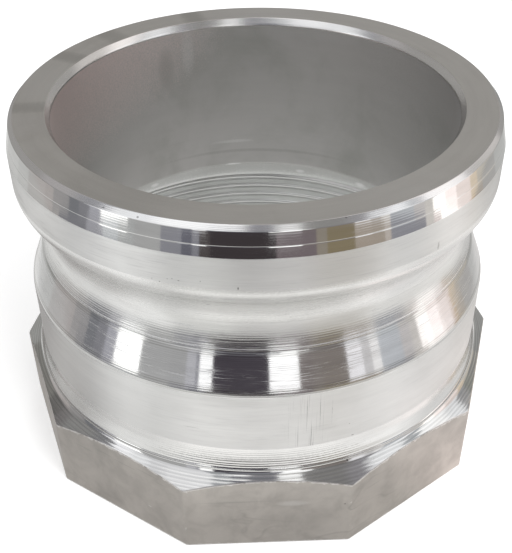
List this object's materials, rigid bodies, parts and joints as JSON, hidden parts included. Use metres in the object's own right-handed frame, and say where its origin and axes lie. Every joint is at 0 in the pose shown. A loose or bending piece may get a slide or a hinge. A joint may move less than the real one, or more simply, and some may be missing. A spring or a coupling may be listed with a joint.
{
  "type": "cam and groove adapter",
  "caption": "Turned aluminium hose adapter: grooved male end for a cam-lever socket, ten-sided spanner base and a female pipe thread.",
  "frame": {"origin": "centre of the base face, on the flow axis", "axes": "+Z along the flow axis, from the threaded base up to the gasket face; one flat of the ten-sided base is square to -Y"},
  "size_m": [0.1, 0.095, 0.0694],
  "materials": {
    "turned_aluminium": "turned, with polished bands"
  },
  "bodies": {
    "root": {"adapter_body": "turned_aluminium"}
  },
  "joints": []
}
